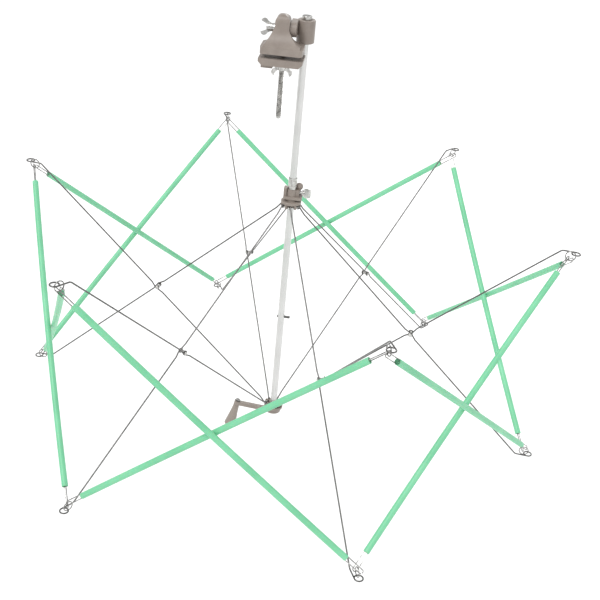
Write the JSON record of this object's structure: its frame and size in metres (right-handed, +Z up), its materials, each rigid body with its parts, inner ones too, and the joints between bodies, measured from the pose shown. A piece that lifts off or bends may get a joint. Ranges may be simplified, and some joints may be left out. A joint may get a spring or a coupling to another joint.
{
  "type": "yarn swift",
  "caption": "Folding umbrella yarn swift of wire scissor arms and green-sleeved side rods that hangs from a table clamp on a turning shaft with a crank.",
  "frame": {"origin": "centre line of the upper jaw's face that lies on the table top, in front of the clamp screw", "axes": "+Z up along the shaft and the clamp screw, the jaws open toward -Y, the swivel barrel and shaft stand on the +X side behind the jaws"},
  "size_m": [0.6442, 0.5988, 0.5262],
  "materials": {
    "cast_metal": "warm grey satin paint on die castings",
    "green_sleeve": "soft mint green plastic tube over steel hooks",
    "steel_wire": "drawn spring wire, slightly dull",
    "dark_steel": "dark steel pin",
    "bright_shaft": "satin drawn rod",
    "bright_steel": "bright plated small parts"
  },
  "bodies": {
    "clamp": {"clamp_body": "cast_metal", "clamp_screw": "bright_steel"},
    "lower_jaw": {"lower_jaw": "cast_metal"},
    "clamp_wing_nut": {"clamp_wing_nut": "bright_steel"},
    "swivel": {"swivel_barrel": "cast_metal"},
    "swivel_screw": {"swivel_screw": "bright_steel"},
    "shaft": {"shaft": "bright_shaft", "shaft_cap_screw": "bright_steel", "stop_pin": "dark_steel", "bottom_hub": "cast_metal", "hub_pivot_ring": "steel_wire", "crank_arm": "cast_metal", "crank_pin": "bright_steel"},
    "crank_knob": {"crank_knob": "cast_metal"},
    "collar": {"collar": "cast_metal", "collar_sleeve": "bright_steel", "collar_pivot_ring": "steel_wire"},
    "collar_thumb_screw": {"collar_thumb_screw": "bright_steel"},
    "lower_arm_1": {"lower_arm_1": "steel_wire", "crossing_rivet_1": "steel_wire"},
    "upper_arm_1": {"upper_arm_1": "steel_wire"},
    "upper_ring_1": {"upper_tip_ring_1": "steel_wire"},
    "lower_ring_1": {"lower_tip_ring_1": "steel_wire"},
    "rod_left_1": {"side_rod_left_1": "green_sleeve"},
    "rod_right_1": {"side_rod_right_1": "green_sleeve"},
    "lower_arm_2": {"lower_arm_2": "steel_wire", "crossing_rivet_2": "steel_wire"},
    "upper_arm_2": {"upper_arm_2": "steel_wire"},
    "upper_ring_2": {"upper_tip_ring_2": "steel_wire"},
    "lower_ring_2": {"lower_tip_ring_2": "steel_wire"},
    "rod_left_2": {"side_rod_left_2": "green_sleeve"},
    "rod_right_2": {"side_rod_right_2": "green_sleeve"},
    "lower_arm_3": {"lower_arm_3": "steel_wire", "crossing_rivet_3": "steel_wire"},
    "upper_arm_3": {"upper_arm_3": "steel_wire"},
    "upper_ring_3": {"upper_tip_ring_3": "steel_wire"},
    "lower_ring_3": {"lower_tip_ring_3": "steel_wire"},
    "rod_left_3": {"side_rod_left_3": "green_sleeve"},
    "rod_right_3": {"side_rod_right_3": "green_sleeve"},
    "lower_arm_4": {"lower_arm_4": "steel_wire", "crossing_rivet_4": "steel_wire"},
    "upper_arm_4": {"upper_arm_4": "steel_wire"},
    "upper_ring_4": {"upper_tip_ring_4": "steel_wire"},
    "lower_ring_4": {"lower_tip_ring_4": "steel_wire"},
    "rod_left_4": {"side_rod_left_4": "green_sleeve"},
    "rod_right_4": {"side_rod_right_4": "green_sleeve"},
    "lower_arm_5": {"lower_arm_5": "steel_wire", "crossing_rivet_5": "steel_wire"},
    "upper_arm_5": {"upper_arm_5": "steel_wire"},
    "upper_ring_5": {"upper_tip_ring_5": "steel_wire"},
    "lower_ring_5": {"lower_tip_ring_5": "steel_wire"},
    "rod_left_5": {"side_rod_left_5": "green_sleeve"},
    "rod_right_5": {"side_rod_right_5": "green_sleeve"},
    "lower_arm_6": {"lower_arm_6": "steel_wire", "crossing_rivet_6": "steel_wire"},
    "upper_arm_6": {"upper_arm_6": "steel_wire"},
    "upper_ring_6": {"upper_tip_ring_6": "steel_wire"},
    "lower_ring_6": {"lower_tip_ring_6": "steel_wire"},
    "rod_left_6": {"side_rod_left_6": "green_sleeve"},
    "rod_right_6": {"side_rod_right_6": "green_sleeve"}
  },
  "joints": [
    {"name": "jaw_slide", "type": "slide", "parent": "clamp", "child": "lower_jaw", "axis": [0, 0, -1], "range_m": [0, 0.032]},
    {"name": "wing_nut_turn", "type": "hinge", "parent": "lower_jaw", "child": "clamp_wing_nut", "pos_m": [0, 0.011, -0.016], "axis": [0, 0, 1], "continuous": true},
    {"name": "swivel_tilt", "type": "hinge", "parent": "clamp", "child": "swivel", "pos_m": [0.009, 0.011, 0.022], "axis": [1, 0, 0], "range_deg": [0, 110]},
    {"name": "swivel_screw_turn", "type": "hinge", "parent": "clamp", "child": "swivel_screw", "pos_m": [-0.01, 0.011, 0.022], "axis": [1, 0, 0], "range_deg": [0, 360]},
    {"name": "shaft_spin", "type": "hinge", "parent": "swivel", "child": "shaft", "pos_m": [0.0205, 0.027, 0.018], "axis": [0, 0, 1], "continuous": true},
    {"name": "knob_spin", "type": "hinge", "parent": "shaft", "child": "crank_knob", "pos_m": [-0.02856, 0.025, -0.46735], "axis": [-0.225, 0, -0.9744], "continuous": true},
    {"name": "lower_arm_1_hinge", "type": "hinge", "parent": "shaft", "child": "lower_arm_1", "pos_m": [0.01376, 0.03392, -0.448], "axis": [0.9205, 0.3907, 0], "range_deg": [-18.5, 32.5]},
    {"name": "crossing_1_hinge", "type": "hinge", "parent": "lower_arm_1", "child": "upper_arm_1", "pos_m": [-0.04063, 0.17102, -0.31288], "axis": [0.9205, 0.3907, 0], "range_deg": [-68, 40]},
    {"name": "upper_ring_1_hinge", "type": "hinge", "parent": "lower_arm_1", "child": "upper_ring_1", "pos_m": [-0.10143, 0.31681, -0.17776], "axis": [0.9205, 0.3907, 0], "range_deg": [-34, 20]},
    {"name": "lower_ring_1_hinge", "type": "hinge", "parent": "upper_arm_1", "child": "lower_ring_1", "pos_m": [-0.10327, 0.31603, -0.448], "axis": [0.9205, 0.3907, 0], "range_deg": [-20, 34]},
    {"name": "lower_arm_2_hinge", "type": "hinge", "parent": "shaft", "child": "lower_arm_2", "pos_m": [0.01114, 0.02462, -0.448], "axis": [0.1219, 0.9925, 0], "range_deg": [-20, 34]},
    {"name": "crossing_2_hinge", "type": "hinge", "parent": "lower_arm_2", "child": "upper_arm_2", "pos_m": [-0.13479, 0.04607, -0.31288], "axis": [0.1219, 0.9925, 0], "range_deg": [-68, 40]},
    {"name": "upper_ring_2_hinge", "type": "hinge", "parent": "lower_arm_2", "child": "upper_ring_2", "pos_m": [-0.29145, 0.06631, -0.17776], "axis": [0.1219, 0.9925, 0], "range_deg": [-34, 20]},
    {"name": "lower_ring_2_hinge", "type": "hinge", "parent": "upper_arm_2", "child": "lower_ring_2", "pos_m": [-0.29169, 0.06432, -0.448], "axis": [0.1219, 0.9925, 0], "range_deg": [-20, 34]},
    {"name": "lower_arm_3_hinge", "type": "hinge", "parent": "shaft", "child": "lower_arm_3", "pos_m": [0.01788, 0.01771, -0.448], "axis": [-0.7986, 0.6018, 0], "range_deg": [-20, 34]},
    {"name": "crossing_3_hinge", "type": "hinge", "parent": "lower_arm_3", "child": "upper_arm_3", "pos_m": [-0.07366, -0.09795, -0.31288], "axis": [-0.7986, 0.6018, 0], "range_deg": [-68, 40]},
    {"name": "upper_ring_3_hinge", "type": "hinge", "parent": "lower_arm_3", "child": "upper_ring_3", "pos_m": [-0.16952, -0.2235, -0.17776], "axis": [-0.7986, 0.6018, 0], "range_deg": [-34, 20]},
    {"name": "lower_ring_3_hinge", "type": "hinge", "parent": "upper_arm_3", "child": "lower_ring_3", "pos_m": [-0.16792, -0.2247, -0.448], "axis": [-0.7986, 0.6018, 0], "range_deg": [-20, 34]},
    {"name": "lower_arm_4_hinge", "type": "hinge", "parent": "shaft", "child": "lower_arm_4", "pos_m": [0.02724, 0.02008, -0.448], "axis": [-0.9205, -0.3907, 0], "range_deg": [-20, 34]},
    {"name": "crossing_4_hinge", "type": "hinge", "parent": "lower_arm_4", "child": "upper_arm_4", "pos_m": [0.08163, -0.11702, -0.31288], "axis": [-0.9205, -0.3907, 0], "range_deg": [-68, 40]},
    {"name": "upper_ring_4_hinge", "type": "hinge", "parent": "lower_arm_4", "child": "upper_ring_4", "pos_m": [0.14243, -0.26281, -0.17776], "axis": [-0.9205, -0.3907, 0], "range_deg": [-34, 20]},
    {"name": "lower_ring_4_hinge", "type": "hinge", "parent": "upper_arm_4", "child": "lower_ring_4", "pos_m": [0.14427, -0.26203, -0.448], "axis": [-0.9205, -0.3907, 0], "range_deg": [-20, 34]},
    {"name": "lower_arm_5_hinge", "type": "hinge", "parent": "shaft", "child": "lower_arm_5", "pos_m": [0.02986, 0.02938, -0.448], "axis": [-0.1219, -0.9925, 0], "range_deg": [-20, 34]},
    {"name": "crossing_5_hinge", "type": "hinge", "parent": "lower_arm_5", "child": "upper_arm_5", "pos_m": [0.17579, 0.00793, -0.31288], "axis": [-0.1219, -0.9925, 0], "range_deg": [-68, 40]},
    {"name": "upper_ring_5_hinge", "type": "hinge", "parent": "lower_arm_5", "child": "upper_ring_5", "pos_m": [0.33244, -0.01231, -0.17776], "axis": [-0.1219, -0.9925, 0], "range_deg": [-34, 20]},
    {"name": "lower_ring_5_hinge", "type": "hinge", "parent": "upper_arm_5", "child": "lower_ring_5", "pos_m": [0.33269, -0.01033, -0.448], "axis": [-0.1219, -0.9925, 0], "range_deg": [-20, 34]},
    {"name": "lower_arm_6_hinge", "type": "hinge", "parent": "shaft", "child": "lower_arm_6", "pos_m": [0.02312, 0.03629, -0.448], "axis": [0.7986, -0.6018, 0], "range_deg": [-20, 34]},
    {"name": "crossing_6_hinge", "type": "hinge", "parent": "lower_arm_6", "child": "upper_arm_6", "pos_m": [0.11466, 0.15195, -0.31288], "axis": [0.7986, -0.6018, 0], "range_deg": [-68, 40]},
    {"name": "upper_ring_6_hinge", "type": "hinge", "parent": "lower_arm_6", "child": "upper_ring_6", "pos_m": [0.21052, 0.2775, -0.17776], "axis": [0.7986, -0.6018, 0], "range_deg": [-34, 20]},
    {"name": "lower_ring_6_hinge", "type": "hinge", "parent": "upper_arm_6", "child": "lower_ring_6", "pos_m": [0.20892, 0.2787, -0.448], "axis": [0.7986, -0.6018, 0], "range_deg": [-20, 34]},
    {"name": "collar_hinge", "type": "hinge", "parent": "upper_arm_1", "child": "collar", "pos_m": [0.02021, 0.03665, -0.17776], "axis": [0.9205, 0.3907, 0], "range_deg": [-20, 34]},
    {"name": "thumb_screw_turn", "type": "hinge", "parent": "collar", "child": "collar_thumb_screw", "pos_m": [0.0295, 0.027, -0.16176], "axis": [1, 0, 0], "range_deg": [0, 360]},
    {"name": "rod_left_1_hinge", "type": "hinge", "parent": "upper_ring_1", "child": "rod_left_1", "pos_m": [-0.10428, 0.31373, -0.1821], "axis": [0.7986, -0.6018, 0], "range_deg": [-22.5, 39.5]},
    {"name": "rod_right_1_hinge", "type": "hinge", "parent": "upper_ring_1", "child": "rod_right_1", "pos_m": [-0.09814, 0.31293, -0.1836], "axis": [0.1219, 0.9925, 0], "range_deg": [-22.5, 39.5]},
    {"name": "rod_left_2_hinge", "type": "hinge", "parent": "upper_ring_2", "child": "rod_left_2", "pos_m": [-0.2902, 0.0623, -0.1821], "axis": [0.9205, 0.3907, 0], "range_deg": [-22.5, 39.5]},
    {"name": "rod_right_2_hinge", "type": "hinge", "parent": "upper_ring_2", "child": "rod_right_2", "pos_m": [-0.28644, 0.06722, -0.1836], "axis": [-0.7986, 0.6018, 0], "range_deg": [-22.5, 39.5]},
    {"name": "rod_left_3_hinge", "type": "hinge", "parent": "upper_ring_3", "child": "rod_left_3", "pos_m": [-0.16542, -0.22443, -0.1821], "axis": [0.1219, 0.9925, 0], "range_deg": [-22.5, 39.5]},
    {"name": "rod_right_3_hinge", "type": "hinge", "parent": "upper_ring_3", "child": "rod_right_3", "pos_m": [-0.16781, -0.21871, -0.1836], "axis": [-0.9205, -0.3907, 0], "range_deg": [-22.5, 39.5]},
    {"name": "rod_left_4_hinge", "type": "hinge", "parent": "upper_ring_4", "child": "rod_left_4", "pos_m": [0.14528, -0.25973, -0.1821], "axis": [-0.7986, 0.6018, 0], "range_deg": [-22.5, 39.5]},
    {"name": "rod_right_4_hinge", "type": "hinge", "parent": "upper_ring_4", "child": "rod_right_4", "pos_m": [0.13914, -0.25893, -0.1836], "axis": [-0.1219, -0.9925, 0], "range_deg": [-22.5, 39.5]},
    {"name": "rod_left_5_hinge", "type": "hinge", "parent": "upper_ring_5", "child": "rod_left_5", "pos_m": [0.3312, -0.0083, -0.1821], "axis": [-0.9205, -0.3907, 0], "range_deg": [-22.5, 39.5]},
    {"name": "rod_right_5_hinge", "type": "hinge", "parent": "upper_ring_5", "child": "rod_right_5", "pos_m": [0.32744, -0.01322, -0.1836], "axis": [0.7986, -0.6018, 0], "range_deg": [-22.5, 39.5]},
    {"name": "rod_left_6_hinge", "type": "hinge", "parent": "upper_ring_6", "child": "rod_left_6", "pos_m": [0.20642, 0.27842, -0.1821], "axis": [-0.1219, -0.9925, 0], "range_deg": [-22.5, 39.5]},
    {"name": "rod_right_6_hinge", "type": "hinge", "parent": "upper_ring_6", "child": "rod_right_6", "pos_m": [0.20881, 0.27271, -0.1836], "axis": [0.9205, 0.3907, 0], "range_deg": [-22.5, 39.5]}
  ],
  "couplings": [
    {"joint": "crossing_1_hinge", "follows": "lower_arm_1_hinge", "ratio": -2},
    {"joint": "upper_ring_1_hinge", "follows": "lower_arm_1_hinge", "ratio": -1},
    {"joint": "lower_ring_1_hinge", "follows": "lower_arm_1_hinge", "ratio": 1},
    {"joint": "lower_arm_2_hinge", "follows": "lower_arm_1_hinge", "ratio": 1},
    {"joint": "crossing_2_hinge", "follows": "lower_arm_1_hinge", "ratio": -2},
    {"joint": "upper_ring_2_hinge", "follows": "lower_arm_1_hinge", "ratio": -1},
    {"joint": "lower_ring_2_hinge", "follows": "lower_arm_1_hinge", "ratio": 1},
    {"joint": "lower_arm_3_hinge", "follows": "lower_arm_1_hinge", "ratio": 1},
    {"joint": "crossing_3_hinge", "follows": "lower_arm_1_hinge", "ratio": -2},
    {"joint": "upper_ring_3_hinge", "follows": "lower_arm_1_hinge", "ratio": -1},
    {"joint": "lower_ring_3_hinge", "follows": "lower_arm_1_hinge", "ratio": 1},
    {"joint": "lower_arm_4_hinge", "follows": "lower_arm_1_hinge", "ratio": 1},
    {"joint": "crossing_4_hinge", "follows": "lower_arm_1_hinge", "ratio": -2},
    {"joint": "upper_ring_4_hinge", "follows": "lower_arm_1_hinge", "ratio": -1},
    {"joint": "lower_ring_4_hinge", "follows": "lower_arm_1_hinge", "ratio": 1},
    {"joint": "lower_arm_5_hinge", "follows": "lower_arm_1_hinge", "ratio": 1},
    {"joint": "crossing_5_hinge", "follows": "lower_arm_1_hinge", "ratio": -2},
    {"joint": "upper_ring_5_hinge", "follows": "lower_arm_1_hinge", "ratio": -1},
    {"joint": "lower_ring_5_hinge", "follows": "lower_arm_1_hinge", "ratio": 1},
    {"joint": "lower_arm_6_hinge", "follows": "lower_arm_1_hinge", "ratio": 1},
    {"joint": "crossing_6_hinge", "follows": "lower_arm_1_hinge", "ratio": -2},
    {"joint": "upper_ring_6_hinge", "follows": "lower_arm_1_hinge", "ratio": -1},
    {"joint": "lower_ring_6_hinge", "follows": "lower_arm_1_hinge", "ratio": 1},
    {"joint": "collar_hinge", "follows": "lower_arm_1_hinge", "ratio": 1},
    {"joint": "rod_left_1_hinge", "follows": "lower_arm_1_hinge", "ratio": 1.0251},
    {"joint": "rod_right_1_hinge", "follows": "lower_arm_1_hinge", "ratio": 1.0351},
    {"joint": "rod_left_2_hinge", "follows": "lower_arm_1_hinge", "ratio": 1.0251},
    {"joint": "rod_right_2_hinge", "follows": "lower_arm_1_hinge", "ratio": 1.0351},
    {"joint": "rod_left_3_hinge", "follows": "lower_arm_1_hinge", "ratio": 1.0251},
    {"joint": "rod_right_3_hinge", "follows": "lower_arm_1_hinge", "ratio": 1.0351},
    {"joint": "rod_left_4_hinge", "follows": "lower_arm_1_hinge", "ratio": 1.0251},
    {"joint": "rod_right_4_hinge", "follows": "lower_arm_1_hinge", "ratio": 1.0351},
    {"joint": "rod_left_5_hinge", "follows": "lower_arm_1_hinge", "ratio": 1.0251},
    {"joint": "rod_right_5_hinge", "follows": "lower_arm_1_hinge", "ratio": 1.0351},
    {"joint": "rod_left_6_hinge", "follows": "lower_arm_1_hinge", "ratio": 1.0251},
    {"joint": "rod_right_6_hinge", "follows": "lower_arm_1_hinge", "ratio": 1.0351}
  ]
}
